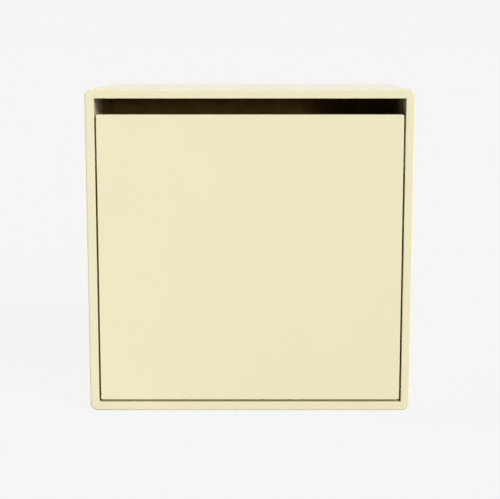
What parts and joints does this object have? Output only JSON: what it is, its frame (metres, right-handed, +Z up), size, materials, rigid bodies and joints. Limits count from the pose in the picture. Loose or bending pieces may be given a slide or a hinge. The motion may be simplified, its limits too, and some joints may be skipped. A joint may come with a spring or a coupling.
{
  "type": "mailbox",
  "caption": "Square wall mailbox in pale yellow lacquered board, with a full-width letter slot above a flush drop-front door on concealed pivots.",
  "frame": {"origin": "middle of the underside, which is the middle of the bounding box's bottom face", "axes": "+Z up, -Y out of the front (door) side, +Y into the wall, +X to the right seen from the front"},
  "size_m": [0.354, 0.2, 0.354],
  "materials": {
    "lacquered_board": "pale yellow silk-matt lacquer on medium-density fibreboard",
    "brown_hardboard": "oil-tempered hardboard, smooth",
    "beech_strip": "bare sawn beech",
    "white_nylon": "moulded, matt",
    "black_nylon": "moulded, matt",
    "ferrite": "ground ferrite, matt",
    "nickel_plated_steel": "satin nickel plate",
    "zinc_plated_steel": "bright zinc plate",
    "blackened_steel": "black oxide"
  },
  "bodies": {
    "carcass": {"top_panel": "lacquered_board", "bottom_panel": "lacquered_board", "left_side_panel": "lacquered_board", "right_side_panel": "lacquered_board", "back_panel": "brown_hardboard", "corner_splines": "beech_strip", "back_panel_screws": "zinc_plated_steel", "wall_eyelets": "nickel_plated_steel", "pivot_bush_left": "black_nylon", "pivot_bush_right": "black_nylon", "stay_guide_left": "white_nylon", "stay_guide_right": "white_nylon", "stay_guide_screws": "zinc_plated_steel", "catch_housing_left": "white_nylon", "catch_housing_right": "white_nylon", "catch_magnet_left": "ferrite", "catch_magnet_right": "ferrite", "catch_poles_left": "nickel_plated_steel", "catch_poles_right": "nickel_plated_steel", "catch_screws": "zinc_plated_steel"},
    "door": {"door_panel": "lacquered_board", "pivot_pin_left": "blackened_steel", "pivot_pin_right": "blackened_steel", "pin_set_screws": "blackened_steel", "stay_arm_left": "nickel_plated_steel", "stay_arm_right": "nickel_plated_steel", "stay_stop_left": "nickel_plated_steel", "stay_stop_right": "nickel_plated_steel", "stay_foot_screws": "zinc_plated_steel", "strike_plate_left": "nickel_plated_steel", "strike_plate_right": "nickel_plated_steel", "strike_screws": "zinc_plated_steel"}
  },
  "joints": [
    {"name": "door_hinge", "type": "hinge", "parent": "carcass", "child": "door", "pos_m": [0, -0.094, 0.02224], "axis": [1, 0, 0], "range_deg": [0, 75]}
  ]
}
